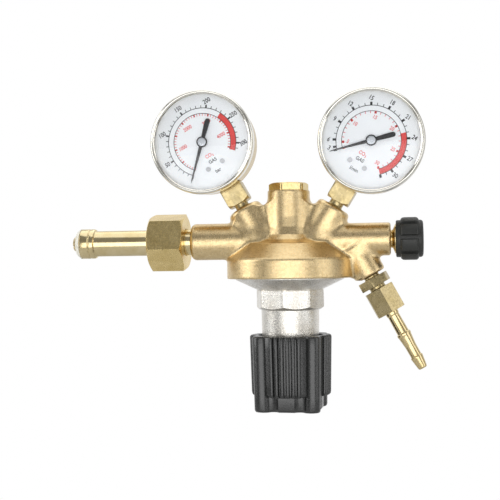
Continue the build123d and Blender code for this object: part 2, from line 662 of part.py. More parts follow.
GAUGE_PIECES = {
    "case": gauge_case, "bezel": gauge_bezel, "lens": gauge_lens, "dial": gauge_dial,
    "bourdon_tube": bourdon_tube, "movement": gauge_movement,
    "sector_gear": sector_gear, "pinion": gauge_pinion, "link": pointer_link,
    "pointer": gauge_pointer, "blowout_disc": blowout_disc,
}
PIECES = (
    body, valve_seat, valve_plug, plug_gasket, valve_poppet, poppet_spring, valve_pin,
    diaphragm_plate, diaphragm, slip_ring, bonnet, main_spring, spring_seat, adjusting_screw,
    adjusting_knob, inlet_stem, inlet_seal, inlet_filter, thrust_washer, inlet_nut,
    outlet_gland, spindle_seal, outlet_spindle, outlet_valve_pad, outlet_knob, outlet_union,
    union_nut, hose_tail, relief_body, relief_poppet, relief_spring, relief_cap,
)


def gauge_place(gauge):
    """Where a gauge's own centre stands, at the end of its stem."""
    return GAUGE_BOSS[gauge] * Pos(0, 0, GAUGE_REACH[gauge]) * FACING


def save(shape, name):
    export_step(Pos(REACH, 0, 0) * shape, f"parts/{name}.step")


def main():
    os.makedirs("parts", exist_ok=True)
    for piece in PIECES:
        save(piece(), piece.__name__)
    for gauge, reach in GAUGE_REACH.items():
        save(gauge_place(gauge) * gauge_stem(reach), f"{gauge}_stem")
        for name, piece in GAUGE_PIECES.items():
            save(gauge_place(gauge) * piece(), f"{gauge}_{name}")
    screws = [gauge_place(gauge) * dial_screw_pair() for gauge in GAUGE_REACH]
    save(Compound(children=[s for pair in screws for s in pair.solids()]), "dial_screws")


main()
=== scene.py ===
"""Looks of a two-gauge carbon dioxide regulator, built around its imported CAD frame.

Shapes are drawn in millimetres in local frames whose Z is the piece's own axis. The gauges'
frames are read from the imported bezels. The others are placed from the regulator's vertical
axis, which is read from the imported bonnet.
"""
import json
from math import cos, pi, radians, sin, tan

import bpy
import numpy as np
import openvdb
from mathutils import Matrix, Vector


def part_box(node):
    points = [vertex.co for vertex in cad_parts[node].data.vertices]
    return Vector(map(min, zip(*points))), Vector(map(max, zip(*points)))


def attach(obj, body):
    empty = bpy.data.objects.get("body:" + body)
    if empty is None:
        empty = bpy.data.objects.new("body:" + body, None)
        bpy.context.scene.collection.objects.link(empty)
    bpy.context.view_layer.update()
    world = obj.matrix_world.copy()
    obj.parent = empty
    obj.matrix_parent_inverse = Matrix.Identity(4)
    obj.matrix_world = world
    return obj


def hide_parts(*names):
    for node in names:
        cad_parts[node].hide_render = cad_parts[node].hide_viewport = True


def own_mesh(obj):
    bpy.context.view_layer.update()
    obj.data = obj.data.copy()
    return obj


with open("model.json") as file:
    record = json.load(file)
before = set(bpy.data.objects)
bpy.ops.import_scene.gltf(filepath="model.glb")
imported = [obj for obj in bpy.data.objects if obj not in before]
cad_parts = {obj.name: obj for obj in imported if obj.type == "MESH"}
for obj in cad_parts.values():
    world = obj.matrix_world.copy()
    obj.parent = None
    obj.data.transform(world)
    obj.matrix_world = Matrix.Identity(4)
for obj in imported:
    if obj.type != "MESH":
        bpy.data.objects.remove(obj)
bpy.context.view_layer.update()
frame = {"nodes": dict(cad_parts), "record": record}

MM = 0.001
ROUND = 128                       # vertices round a turned piece


# ---- places ------------------------------------------------------------------------------
def centre(node):
    low, high = (Vector(corner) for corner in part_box(node))
    return (low + high) / 2


AXIS_X = centre("bonnet").x / MM
GAUGE_FACE = {"contents": (-28.2, 20.5), "flow": (28.2, 20.5)}
GAUGE_TILT = {"contents": -29.3, "flow": 31.7}
STEM_REACH = {"contents": 45.6, "flow": 44.1}     # boss face to the middle of the gauge
INLET_FACE = -60.5
VALVE_FACE = 61.6
OUTLET_FACE = (49.4, -22.1)
OUTLET_TILT = 151.5
RELIEF_FACE = 31.0
RELIEF_Z = 4.0


def place(x, y, z, turn=0.0, about="Y"):
    """Local frame in millimetres, turned and moved from the regulator's vertical axis."""
    spin = Matrix.Rotation(radians(turn), 4, about)
    return Matrix.Scale(MM, 4) @ Matrix.Translation((AXIS_X + x, y, z)) @ spin


UP = place(0, 0, 0)
ALONG = place(0, 0, 0, 90)
OUTLET = place(OUTLET_FACE[0], 0, OUTLET_FACE[1], OUTLET_TILT)
RELIEF = place(0, RELIEF_FACE, RELIEF_Z, -90, "X")


def gauge_frame(gauge):
    """x to the right, y up the line of the stem, z to the front.

    It starts in the plane of the stem, straight behind the middle of the bezel."""
    middle = centre(f"{gauge}_bezel") / MM
    tilt = Matrix.Rotation(radians(GAUGE_TILT[gauge]), 4, "Y")
    return (Matrix.Scale(MM, 4) @ Matrix.Translation((middle.x, 0, middle.z)) @ tilt
            @ Matrix.Rotation(radians(90), 4, "X"))


# ---- camera ------------------------------------------------------------------------------
CAMERA_TURN = 9.0                 # degrees round to the right of the regulator's front
CAMERA_BACK = 613.0
CAMERA_SIDE = -24.2
CAMERA_HEIGHT = -14.0
CAMERA_PITCH = 0.8
CAMERA_ROLL = 0.8


def add_camera():
    turn = radians(CAMERA_TURN)
    right = Vector((cos(turn), sin(turn), 0))
    ahead = Vector((-sin(turn), cos(turn), 0))
    spot = right * CAMERA_SIDE - ahead * CAMERA_BACK + Vector((AXIS_X, 0, CAMERA_HEIGHT))
    data = bpy.data.cameras.new("camera")
    data.lens = 72.0
    data.sensor_width = 36.0
    data.clip_start = 0.01
    data.clip_end = 50.0
    camera = bpy.data.objects.new("camera", data)
    bpy.context.collection.objects.link(camera)
    aim = Matrix((right, Vector((0, 0, 1)), -ahead)).transposed().to_4x4()
    pitch = Matrix.Rotation(radians(CAMERA_PITCH), 4, "X")
    roll = Matrix.Rotation(radians(-CAMERA_ROLL), 4, "Z")
    camera.matrix_world = Matrix.Translation(spot * MM) @ aim @ pitch @ roll
    bpy.context.scene.camera = camera


add_camera()


# ---- mesh helpers ------------------------------------------------------------------------
def new_object(name, mesh, frame_matrix, sharp=32):
    mesh.shade_smooth()
    mesh.set_sharp_from_angle(angle=radians(sharp))
    piece = bpy.data.objects.new(name, mesh)
    bpy.context.collection.objects.link(piece)
    piece.matrix_world = frame_matrix
    return piece


def applied(piece, *modifiers):
    """Adds modifiers given as (kind, settings), applies them all and returns the piece."""
    for kind, settings in modifiers:
        modifier = piece.modifiers.new(kind.lower(), kind)
        for key, value in settings.items():
            setattr(modifier, key, value)
    graph = bpy.context.evaluated_depsgraph_get()
    mesh = bpy.data.meshes.new_from_object(piece.evaluated_get(graph))
    piece.modifiers.clear()
    piece.data = mesh
    return piece


def bevelled(piece, width, segments=2, angle=28):
    return applied(piece, ("BEVEL", {"width": width, "segments": segments,
                                     "limit_method": "ANGLE", "angle_limit": radians(angle),
                                     "harden_normals": True}))


def loft_mesh(name, rings, closed=False):
    """Quads between rings of points. An open loft is capped at both ends."""
    rings = np.asarray(rings, dtype=np.float64)
    count, around = rings.shape[:2]
    points = rings.reshape(-1, 3)
    turn = np.arange(around)
    following = (turn + 1) % around
    faces = []
    for level in range(count if closed else count - 1):
        this, above = level * around, (level + 1) % count * around
        faces.extend(np.stack([this + turn, this + following, above + following, above + turn],
                              axis=1).tolist())
    if not closed:
        faces.append(list(range(around))[::-1])
        faces.append(list(range((count - 1) * around, count * around)))
    mesh = bpy.data.meshes.new(name)
    mesh.from_pydata(points.tolist(), [], faces)
    mesh.update()
    return mesh


def steps_round(count):
    return np.arange(count) * 2 * pi / count


def circle_points(radius, z, angles):
    radius = np.broadcast_to(radius, angles.shape)
    z = np.broadcast_to(z, angles.shape)
    return np.stack([radius * np.cos(angles), radius * np.sin(angles), z], axis=1)


def circles(outline, angles):
    """A ring of points for each (radius, height) of an outline."""
    return [circle_points(radius, z, angles) for radius, z in outline]


def softened(outline, radius, closed=False):
    """Outline of (radius, height) points with each corner replaced by a small arc."""
    points = [Vector(p) for p in outline]
    count = len(points)
    result = []
    for i, corner in enumerate(points):
        if not closed and i in (0, count - 1):
            result.append(tuple(corner))
            continue
        before, after = points[i - 1] - corner, points[(i + 1) % count] - corner
        cut = min(radius, 0.42 * before.length, 0.42 * after.length)
        start = corner + before.normalized() * cut
        end = corner + after.normalized() * cut
        for share in (0.0, 0.33, 0.67, 1.0):
            inner = start.lerp(corner, share).lerp(corner.lerp(end, share), share)
            result.append(tuple(inner))
    return result


def lofted(name, rings, frame_matrix, closed=False, sharp=32):
    return new_object(name, loft_mesh(name, rings, closed), frame_matrix, sharp)


def turned(name, outline, frame_matrix, soft=0.15, closed=False, around=ROUND, sharp=32):
    """Piece turned about its Z from (radius, height) points, closed when it has a through bore."""
    outline = softened(outline, soft, closed) if soft else outline
    return lofted(name, circles(outline, steps_round(around)), frame_matrix, closed, sharp)


def prism_radius(sides, across_flats, angles, turn):
    """Distance from the axis to a regular polygon's side, at each angle."""
    step = 2 * pi / sides
    offset = (angles - radians(turn) + step / 2) % step - step / 2
    return across_flats / 2 / np.cos(offset)


def faceted(name, frame_matrix, sides, across_flats, low, high, bore, low_end=None, high_end=None,
            turn=0.0, slope=30.0, low_slope=None, edge=0.14, per_side=12, inner=None):
    """Wrench prism whose corners are turned off by a cone at each end.

    low_end and high_end are the radii at which the cones meet the end faces, and inner is an
    outline of the bore from the high end to the low end, where it isn't plain."""
    angles = steps_round(sides * per_side) + radians(turn) + pi / sides
    sides_r = prism_radius(sides, across_flats, angles, turn)
    low_end = low_end or across_flats / 2
    high_end = high_end or across_flats / 2
    high_tan, low_tan = tan(radians(slope)), tan(radians(low_slope or slope))
    low_cut = low + np.maximum(sides_r - low_end, 0) * low_tan
    high_cut = high - np.maximum(sides_r - high_end, 0) * high_tan
    rings = circles(inner or [(bore, high), (bore, low)], angles)
    rings.append(circle_points(np.minimum(low_end, sides_r), low, angles))
    rings.append(circle_points(sides_r, low_cut, angles))
    rings.append(circle_points(sides_r, high_cut, angles))
    rings.append(circle_points(np.minimum(high_end, sides_r), high, angles))
    piece = lofted(name, rings, frame_matrix, closed=True)
    return bevelled(piece, edge, angle=24)


def slab(name, low, high, frame_matrix):
    """Plain block between two corners."""
    spans = list(zip(low, high))
    corners = [(x, y, z) for x in spans[0] for y in spans[1] for z in spans[2]]
    faces = [(0, 1, 3, 2), (4, 6, 7, 5), (0, 4, 5, 1), (2, 3, 7, 6), (0, 2, 6, 4), (1, 5, 7, 3)]
    mesh = bpy.data.meshes.new(name)
    mesh.from_pydata(corners, [], faces)
    return new_object(name, mesh, frame_matrix)


def joined(name, pieces):
    """One object from several, in the frame of the first."""
    base = pieces[0]
    meshes = []
    for piece in pieces:
        mesh = piece.data.copy()
        mesh.transform(base.matrix_world.inverted() @ piece.matrix_world)
        meshes.append(mesh)
    points, faces = [], []
    for mesh in meshes:
        start = len(points)
        points.extend(v.co[:] for v in mesh.vertices)
        faces.extend([start + i for i in p.vertices] for p in mesh.polygons)
    whole = bpy.data.meshes.new(name)
    whole.from_pydata(points, [], faces)
    matrix = base.matrix_world.copy()
    for piece in pieces:
        bpy.data.objects.remove(piece)
    return new_object(name, whole, matrix)


# ---- materials ---------------------------------------------------------------------------
class Shade:
    """A Principled material with a few short ways to drive it by noise."""

    def __init__(self, name, colour, rough, metallic=0.0, **sockets):
        self.material = bpy.data.materials.new(name)
        self.material.use_nodes = True
        self.tree = self.material.node_tree
        self.shader = self.tree.nodes["Principled BSDF"]
        self.shader.inputs["Base Color"].default_value = (*colour, 1)
        self.shader.inputs["Roughness"].default_value = rough
        self.shader.inputs["Metallic"].default_value = metallic
        for key, value in sockets.items():
            self.shader.inputs[key.replace("_", " ")].default_value = value
        self.coordinates = self.node("ShaderNodeTexCoord").outputs["Object"]
        self.normal = None

    def node(self, kind, **settings):
        made = self.tree.nodes.new(kind)
        for key, value in settings.items():
            setattr(made, key, value)
        return made

    def stretched(self, scale):
        mapping = self.node("ShaderNodeMapping")
        mapping.inputs["Scale"].default_value = scale
        self.tree.links.new(self.coordinates, mapping.inputs["Vector"])
        return mapping.outputs["Vector"]

    def noise(self, scale, detail=3.0, rough=0.55, stretch=(1, 1, 1), distortion=0.0):
        texture = self.node("ShaderNodeTexNoise")
        texture.inputs["Scale"].default_value = scale
        texture.inputs["Detail"].default_value = detail
        texture.inputs["Roughness"].default_value = rough
        texture.inputs["Distortion"].default_value = distortion
        self.tree.links.new(self.stretched(stretch), texture.inputs["Vector"])
        return texture.outputs["Fac"]

    def grains(self, scale, stretch=(1, 1, 1)):
        texture = self.node("ShaderNodeTexVoronoi")
        texture.inputs["Scale"].default_value = scale
        self.tree.links.new(self.stretched(stretch), texture.inputs["Vector"])
        return texture.outputs["Distance"]

    def between(self, factor, low, high, start=0.3, end=0.7):
        spread = self.node("ShaderNodeMapRange")
        for key, value in (("From Min", start), ("From Max", end), ("To Min", low), ("To Max", high)):
            spread.inputs[key].default_value = value
        self.tree.links.new(factor, spread.inputs["Value"])
        return spread.outputs["Result"]

    def tint(self, factor, first, second, start=0.35, end=0.65):
        ramp = self.node("ShaderNodeValToRGB")
        ramp.color_ramp.elements[0].position = start
        ramp.color_ramp.elements[1].position = end
        ramp.color_ramp.elements[0].color = (*first, 1)
        ramp.color_ramp.elements[1].color = (*second, 1)
        self.tree.links.new(factor, ramp.inputs["Fac"])
        self.tree.links.new(ramp.outputs["Color"], self.shader.inputs["Base Color"])
        return self

    def rough(self, factor, low, high, start=0.3, end=0.7):
        value = self.between(factor, low, high, start, end)
        self.tree.links.new(value, self.shader.inputs["Roughness"])
        return self

    def bump(self, height, strength, depth):
        """Relief of the given depth in millimetres."""
        bump = self.node("ShaderNodeBump")
        bump.inputs["Strength"].default_value = strength
        bump.inputs["Distance"].default_value = depth * MM
        self.tree.links.new(height, bump.inputs["Height"])
        if self.normal:
            self.tree.links.new(self.normal, bump.inputs["Normal"])
        self.normal = bump.outputs["Normal"]
        self.tree.links.new(self.normal, self.shader.inputs["Normal"])
        return self


def forged_brass():
    shade = Shade("forged_brass", (0.80, 0.60, 0.31), 0.28, metallic=1.0)
    shade.tint(shade.noise(0.5, detail=6, rough=0.7), (0.72, 0.54, 0.28), (0.89, 0.70, 0.40))
    shade.rough(shade.noise(1.6, detail=5), 0.24, 0.36)
    shade.bump(shade.noise(1.7, detail=6, rough=0.7), 0.75, 0.12)
    return shade.bump(shade.grains(2.8), 0.5, 0.06).material


def machined_brass(name, colour, rough, lines=0.2):
    """Turned brass: fine rings round the piece's own Z, and a little handling haze."""
    dark = tuple(c * f for c, f in zip(colour, (0.90, 0.87, 0.78)))
    shade = Shade(name, colour, rough, metallic=1.0)
    shade.tint(shade.noise(0.12, detail=4), dark, colour)
    shade.rough(shade.noise(0.5, detail=4), rough * 0.75, rough * 1.3)
    return shade.bump(shade.noise(1.0, detail=2, stretch=(0.02, 0.02, 6.0)), lines, 0.03).material


def hexagon_brass(name, colour, rough):
    """Bright-drawn bar: faint lines along the piece, with fine scratches."""
    dark = tuple(c * f for c, f in zip(colour, (0.86, 0.84, 0.76)))
    shade = Shade(name, colour, rough, metallic=1.0)
    shade.tint(shade.noise(0.16, detail=5), dark, colour)
    shade.rough(shade.noise(0.8, detail=5), rough * 0.75, rough * 1.35)
    return shade.bump(shade.noise(1.0, detail=3, stretch=(2.5, 2.5, 0.05)), 0.5, 0.02).material


def nickel():
    shade = Shade("nickel", (0.86, 0.83, 0.77), 0.30, metallic=1.0)
    shade.tint(shade.noise(0.1, detail=3), (0.78, 0.74, 0.67), (0.95, 0.93, 0.88))
    shade.rough(shade.noise(1.2, detail=5), 0.20, 0.40)
    shade.bump(shade.noise(1.0, detail=6, rough=0.7), 0.8, 0.22)
    return shade.bump(shade.grains(1.8), 0.5, 0.1).material


def plated(name, colour, rough):
    shade = Shade(name, colour, rough, metallic=1.0)
    shade.rough(shade.noise(0.3, detail=4), rough * 0.7, rough * 1.4)
    return shade.bump(shade.noise(0.25, detail=3), 0.03, 0.05).material


def moulded(name, colour, rough, grain, depth, **extra):
    light = tuple(c * 1.35 for c in colour)
    shade = Shade(name, colour, rough, **extra)
    shade.tint(shade.noise(1.6, detail=5), colour, light)
    shade.rough(shade.noise(0.9, detail=4), rough * 0.85, rough * 1.15)
    shade.bump(shade.noise(2.2, detail=4, rough=0.7), grain, depth)
    return shade.bump(shade.grains(2.6), grain * 0.6, depth * 0.7).material


def enamel():
    shade = Shade("dial_face", (0.94, 0.96, 0.98), 0.42)
    shade.tint(shade.noise(30.0, detail=3), (0.93, 0.95, 0.975), (0.95, 0.965, 0.985))
    return shade.bump(shade.noise(900.0, detail=3), 0.2, 0.02).material


def printed(name, colour):
    shade = Shade(name, colour, 0.5)
    return shade.bump(shade.noise(3.0, detail=2), 0.05, 0.02).material


def clear():
    shade = Shade("gauge_lens", (0.985, 0.995, 1.0), 0.0, Transmission_Weight=1.0, IOR=1.38)
    shade.rough(shade.noise(0.2, detail=2), 0.0, 0.03)
    return shade.material


def metre_steel(name, colour, rough):
    """For CAD pieces, whose coordinates are in metres."""
    shade = Shade(name, colour, rough, metallic=1.0)
    shade.rough(shade.noise(700, detail=4), rough * 0.7, rough * 1.3)
    return shade.bump(shade.noise(1500, detail=3), 0.3, 0.04).material


def metre_soft(name, colour, rough):
    shade = Shade(name, colour, rough)
    shade.rough(shade.noise(500, detail=4), rough * 0.85, rough * 1.1)
    return shade.bump(shade.noise(1800, detail=3), 0.3, 0.05).material


FORGED = forged_brass()
TURNED = machined_brass("turned_brass", (0.84, 0.71, 0.43), 0.16)
TAIL_BRASS = machined_brass("tail_brass", (0.82, 0.67, 0.38), 0.20)
HEXAGON = hexagon_brass("hexagon_brass", (0.92, 0.72, 0.34), 0.26)
SOCKET = hexagon_brass("socket_brass", (0.60, 0.49, 0.27), 0.30)
PLUG = hexagon_brass("plug_brass", (0.86, 0.68, 0.34), 0.20)
NICKEL = nickel()
CASE_SIDE = plated("gauge_case_side", (0.66, 0.52, 0.29), 0.2)
CASE = plated("gauge_case", (0.88, 0.86, 0.79), 0.16)
BIG_KNOB = moulded("black_plastic", (0.012, 0.0125, 0.012), 0.25, 0.45, 0.12,
                   Specular_IOR_Level=0.95)
SMALL_KNOB = moulded("small_knob_plastic", (0.022, 0.023, 0.021), 0.46, 0.3, 0.08)
WHITE = moulded("white_plastic", (0.82, 0.79, 0.68), 0.38, 0.1, 0.05)
DIAL = enamel()
BLACK_INK = printed("black_ink", (0.02, 0.021, 0.024))
RED_INK = printed("red_ink", (0.76, 0.055, 0.05))
LENS = clear()
POINTER = printed("pointer_black", (0.012, 0.012, 0.013))
HUB = plated("pointer_hub", (0.55, 0.57, 0.60), 0.3)
RUBBER = moulded("rubber", (0.02, 0.02, 0.02), 0.7, 0.15, 0.05)
SPRING = plated("spring_wire", (0.46, 0.46, 0.48), 0.3)


def finish(piece, body, material, slot, *nodes):
    """Rides a piece on its body with its material, and lets it stand for CAD nodes."""
    piece.data.materials.clear()
    piece.data.materials.append(material)
    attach(piece, body)
    if nodes:
        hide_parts(*nodes)
    return piece


# ---- forged body -------------------------------------------------------------------------
GRID = 0.5                        # spacing of the body's distance field
FIELD_LOW = (-62.0, -40.0, -25.0)
FIELD_HIGH = (63.5, 40.0, 33.0)
FIELD_DEPTH = 3.0                 # distances are kept up to this far from the surface
HUB_SHAPE = [(-30, 30.5), (12.9, 30.5), (13.2, 14), (13.8, 8.0), (15.0, 3.5), (17.4, 0.4),
             (21.0, -1.4), (25.6, -2.0), (37.5, -10.7), (38.3, -11.9), (38.3, -22.5),
             (37.8, -23.0), (-30, -23.0)]
FAN_SHAPE = [(-13, 22.0), (13, 22.0), (20, 20.5), (33, 11), (36, -5), (-36, -5), (-33, 11),
             (-20, 20.5)]
FAN_HALF = 6.5
FAN_FILLET = 4.5
BOSS_FILLET = 3.2
OUTLET_FILLET = 3.6


def polygon_field(u, v, outline):
    """Signed distance to a closed polygon in a plane, negative inside."""
    best = np.full(u.shape, 1e9, dtype=np.float32)
    inside = np.zeros(u.shape, dtype=bool)
    for (u0, v0), (u1, v1) in zip(outline, outline[1:] + outline[:1]):
        du, dv = u1 - u0, v1 - v0
        share = np.clip(((u - u0) * du + (v - v0) * dv) / (du * du + dv * dv), 0, 1)
        best = np.minimum(best, (u - u0 - share * du) ** 2 + (v - v0 - share * dv) ** 2)
        if dv:
            crosses = (v0 > v) != (v1 > v)
            inside ^= crosses & (u < du * (v - v0) / dv + u0)
    return np.where(inside, -1, 1) * np.sqrt(best)


def rod_field(x, y, z, start, end, radius, edge=0.0):
    """Signed distance to a round bar between two points, with its rims rounded over."""
    start, end = np.array(start), np.array(end)
    middle, half = (start + end) / 2, np.linalg.norm(end - start) / 2
    way = (end - start) / (2 * half)
    px, py, pz = x - middle[0], y - middle[1], z - middle[2]
    along = px * way[0] + py * way[1] + pz * way[2]
    across = np.sqrt(np.maximum(px * px + py * py + pz * pz - along * along, 0))
    du, dv = across - radius + edge, np.abs(along) - half + edge
    outside = np.sqrt(np.maximum(du, 0) ** 2 + np.maximum(dv, 0) ** 2)
    return np.minimum(np.maximum(du, dv), 0) + outside - edge


def blended(first, second, reach):
    """Smooth union, which fills the corner between two shapes like a casting fillet."""
    share = np.clip(0.5 + 0.5 * (second - first) / reach, 0, 1)
    return second * (1 - share) + first * share - reach * share * (1 - share)


def on_axis(origin, tilt, distance):
    """Point along an axis that leans from vertical in the front plane."""
    return (origin[0] + distance * sin(radians(tilt)), 0, origin[1] + distance * cos(radians(tilt)))


def leaning_bar(field, face, tilt, start, end, radius, edge=0.0):
    """Bar on a leaning axis. start and end are distances beyond its boss face."""
    return rod_field(*field, on_axis(face, tilt, start), on_axis(face, tilt, end), radius, edge)


def body_field(*field):
    """Signed distance to the forging: hub, fan of webs and bosses, less the bores."""
    x, y, z = field

    def upright(low, high, radius):
        return rod_field(*field, (0, 0, low), (0, 0, high), radius)

    def sideways(start, end, radius, edge=0.0):
        return rod_field(*field, (start, 0, 0), (end, 0, 0), radius, edge)

    def backward(start, end, radius, edge=0.0):
        return rod_field(*field, (0, start, RELIEF_Z), (0, end, RELIEF_Z), radius, edge)

    fan = np.maximum(polygon_field(x, z, FAN_SHAPE), np.abs(y) - FAN_HALF)
    shape = blended(polygon_field(np.hypot(x, y), z, HUB_SHAPE), fan, FAN_FILLET)
    axes = [(GAUGE_FACE[gauge], tilt) for gauge, tilt in GAUGE_TILT.items()]
    bosses = [sideways(0, INLET_FACE, 11.25, 2.6), sideways(0, VALVE_FACE, 10.0, 1.4),
              backward(0, RELIEF_FACE, 9.0, 1.6)]
    bosses += [leaning_bar(field, *axis, -25, 0, 10.6, 2.6) for axis in axes]
    for boss in bosses:
        shape = blended(shape, boss, BOSS_FILLET)
    outlet = (field, OUTLET_FACE, OUTLET_TILT)
    shape = blended(shape, leaning_bar(*outlet, -20, 0, 9.6, 1.6), OUTLET_FILLET)
    plug_and_valve = [upright(20, 32, 8.05), upright(9, 21, 7.5), upright(4.95, 10, 5.05),
                      upright(-12, 6, 1.9)]
    diaphragm = [upright(-16.5, -10.5, 27.0), upright(-26, -16.45, 33.5)]
    ports = [sideways(-62, -46, 8.08), sideways(50, 63, 6.55), sideways(40.9, 51, 4.3),
             leaning_bar(*outlet, -8.2, 2, 5.08), backward(22.8, 33, 5.08)]
    gauge_ports = [leaning_bar(field, *axis, -9.5, 3, 4.88) for axis in axes]
    for bore in plug_and_valve + diaphragm + ports + gauge_ports:
        shape = np.maximum(shape, -bore)
    return shape


def forged_body():
    low = np.array(FIELD_LOW)
    count = np.ceil((np.array(FIELD_HIGH) - low) / GRID).astype(int)
    axes = [(low[i] + GRID * np.arange(count[i])).astype(np.float32) for i in range(3)]
    distance = body_field(*np.meshgrid(*axes, indexing="ij"))
    grid = openvdb.FloatGrid(background=FIELD_DEPTH)
    grid.copyFromArray(np.clip(distance, -FIELD_DEPTH, FIELD_DEPTH).astype(np.float32))
    points, quads = grid.convertToQuads(0.0)
    mesh = bpy.data.meshes.new("body_forging")
    mesh.from_pydata((points * GRID + low).tolist(), [], quads[:, ::-1].tolist())
    mesh.update()
    piece = new_object("body_forging", mesh, UP, sharp=40)
    return finish(piece, "regulator", FORGED, "forged_brass", "body")


forged_body()


# ---- top plug ----------------------------------------------------------------------------
PLUG_AF = 22.0
PLUG_CORNER_R = 12.35
PLUG_TURN = -12.0
PLUG_TOP = 35.2
PLUG_RIM = 10.6                   # radius at which its turned-off corners begin


def top_plug():
    angles = steps_round(96) + radians(PLUG_TURN) + pi / 6
    sides = np.minimum(prism_radius(6, PLUG_AF, angles, PLUG_TURN), PLUG_CORNER_R)
    rings = circles([(0.01, 29.0), (1.56, 29.0), (1.56, 26.0), (5.0, 26.0), (5.0, 20.5),
                     (8.0, 20.5), (8.0, 30.5), (sides, 30.5),
                     (sides, PLUG_TOP - np.maximum(sides - PLUG_RIM, 0) * 0.55),
                     (PLUG_RIM, PLUG_TOP)], angles)
    piece = lofted("top_plug", rings, UP)
    bevelled(piece, 0.14, angle=24)
    finish(piece, "regulator", PLUG, "machined_brass", "valve_plug")


top_plug()


# ---- inlet -------------------------------------------------------------------------------
NUT_AF = 32.0
NUT_LOW = -86.4
NUT_HIGH = -64.3
NUT_TURN = 14.5
NUT_THREAD_R = 9.9
NUT_THREAD_DEPTH = 0.9
NUT_THREAD_PITCH = 1.814
STEM_END = -131.6


def thread_bore(radius, depth, start, end, pitch):
    """Outline of a threaded bore, as a row of V grooves from start down to end."""
    outline = []
    for turn in range(int((start - end) / pitch)):
        at = start - turn * pitch
        outline += [(radius, at), (radius, at - pitch * 0.2), (radius + depth, at - pitch * 0.6)]
    return outline + [(radius, end)]


def inlet():
    stem = [(2.5, -125.6), (5.4, -125.6), (5.4, STEM_END), (8.95, STEM_END), (9.35, -131.2),
            (9.35, -126.5), (8.95, -126.1), (8.95, -125.8), (9.35, -125.4), (9.3, -123.6),
            (8.9, -122.7), (8.3, -122.4), (8.0, -122.1), (8.0, -46.8), (7.2, -46.0), (2.5, -46.0)]
    piece = turned("inlet_stem_turned", stem, ALONG, soft=0.3, closed=True)
    finish(piece, "regulator", TURNED, "machined_brass", "inlet_stem")
    seal = [(5.42, -134.6), (6.9, -134.6), (7.9, -134.1), (8.9, -132.9), (9.4, -132.1),
            (9.4, STEM_END), (5.42, STEM_END)]
    piece = turned("inlet_seal_ring", seal, ALONG, soft=0.5, closed=True)
    finish(piece, "regulator", WHITE, "white_plastic", "inlet_seal")
    thread = thread_bore(NUT_THREAD_R, NUT_THREAD_DEPTH, -68.6, -85.4, NUT_THREAD_PITCH)
    bore = [(8.8, NUT_HIGH), (8.3, -64.8), (8.3, -67.2), (NUT_THREAD_R, -67.2), *thread,
            (10.6, NUT_LOW)]
    nut = faceted("swivel_nut", ALONG, 6, NUT_AF, NUT_LOW, NUT_HIGH, NUT_THREAD_R, low_end=15.8,
                  high_end=15.8, turn=NUT_TURN, slope=24.0, low_slope=30.0, edge=0.2, per_side=24,
                  inner=bore)
    finish(nut, "inlet_nut", HEXAGON, "machined_brass", "inlet_nut")


inlet()


# ---- bonnet ------------------------------------------------------------------------------
OCTAGON_AF = 39.0
OCTAGON_CORNER_R = 20.9
OCTAGON_TURN = -72.2
OCTAGON_LOW = -41.8
OCTAGON_RIM = 18.9                # radius at which its turned-off corners begin


def spring_bonnet():
    angles = steps_round(8 * 24) + radians(OCTAGON_TURN) + pi / 8
    flats = np.minimum(prism_radius(8, OCTAGON_AF, angles, OCTAGON_TURN), OCTAGON_CORNER_R)
    inside = [(4.96, -68.0), (4.96, -61.8), (14.5, -60.0), (14.5, -28.5), (27.5, -21.5),
              (27.5, -18.3), (33.3, -18.3), (33.3, -23.2), (33.1, -23.7), (20.6, -29.6)]
    octagon = [(20.3, -29.9), (flats - 0.35, -30.0), (flats, -30.4),
               (flats, OCTAGON_LOW + np.maximum(flats - OCTAGON_RIM, 0) * 0.75),
               (OCTAGON_RIM, OCTAGON_LOW)]
    barrel = [(18.0, -41.9), (17.65, -42.3), (17.3, -66.5), (16.3, -68.0), (4.96, -68.0)]
    rings = circles(softened(inside, 0.3) + octagon + softened(barrel, 0.3)[:-1], angles)
    piece = lofted("bonnet_shell", rings, UP, closed=True)
    bevelled(piece, 0.2, angle=24)
    finish(piece, "regulator", NICKEL, "nickel", "bonnet")


spring_bonnet()


# ---- adjusting knob ----------------------------------------------------------------------
KNOB_TURN = -3.0
KNOB_TOP = -57.4
PANEL_LOW = -93.8                 # lower end of the ribbed panels between the pillars
KNOB_LOW = -102.9
KNOB_BORE_TOP = -76.0
SCREW_R = 4.9
SKIRT_R = 20.0                    # inside of the skirt that goes over the bonnet's barrel
PILLAR_R = 5.0
PILLAR_AT = 22.2
RIBS = 6                          # on each of the four panels
RIB_R = 1.3
RIB_TIP = 25.0
RIB_STEP = 8.3                    # degrees
VALLEY_R = 23.3                   # between the ribs
FOOT_AF = 40.0
FOOT_CORNER_R = 26
COVE_R = 5.6                      # hollows in the foot, beside the pillars
COVE_AT = (23.4, 9.6)
TAPER = 0.023                     # radius lost for each millimetre down


def circle_crossings(angles, radius, at, bearing):
    """Where rays from the axis cross a circle that stands off it: a mask, near and far radii."""
    away = (angles - bearing + pi) % (2 * pi) - pi
    root = radius * radius - (at * np.sin(away)) ** 2
    half = np.sqrt(np.maximum(root, 0))
    hit = (root > 0) & (np.cos(away) > 0)
    return hit, at * np.cos(away) - half, at * np.cos(away) + half


def filled(outline, angles, radius, at, bearing):
    """Outline with a circle added to it."""
    hit, _, far = circle_crossings(angles, radius, at, bearing)
    return np.maximum(outline, np.where(hit, far, 0))


def hollowed(outline, angles, radius, at, bearing):
    """Outline cut back to the near side of a circle."""
    hit, near, _ = circle_crossings(angles, radius, at, bearing)
    return np.where(hit, np.minimum(outline, near), outline)


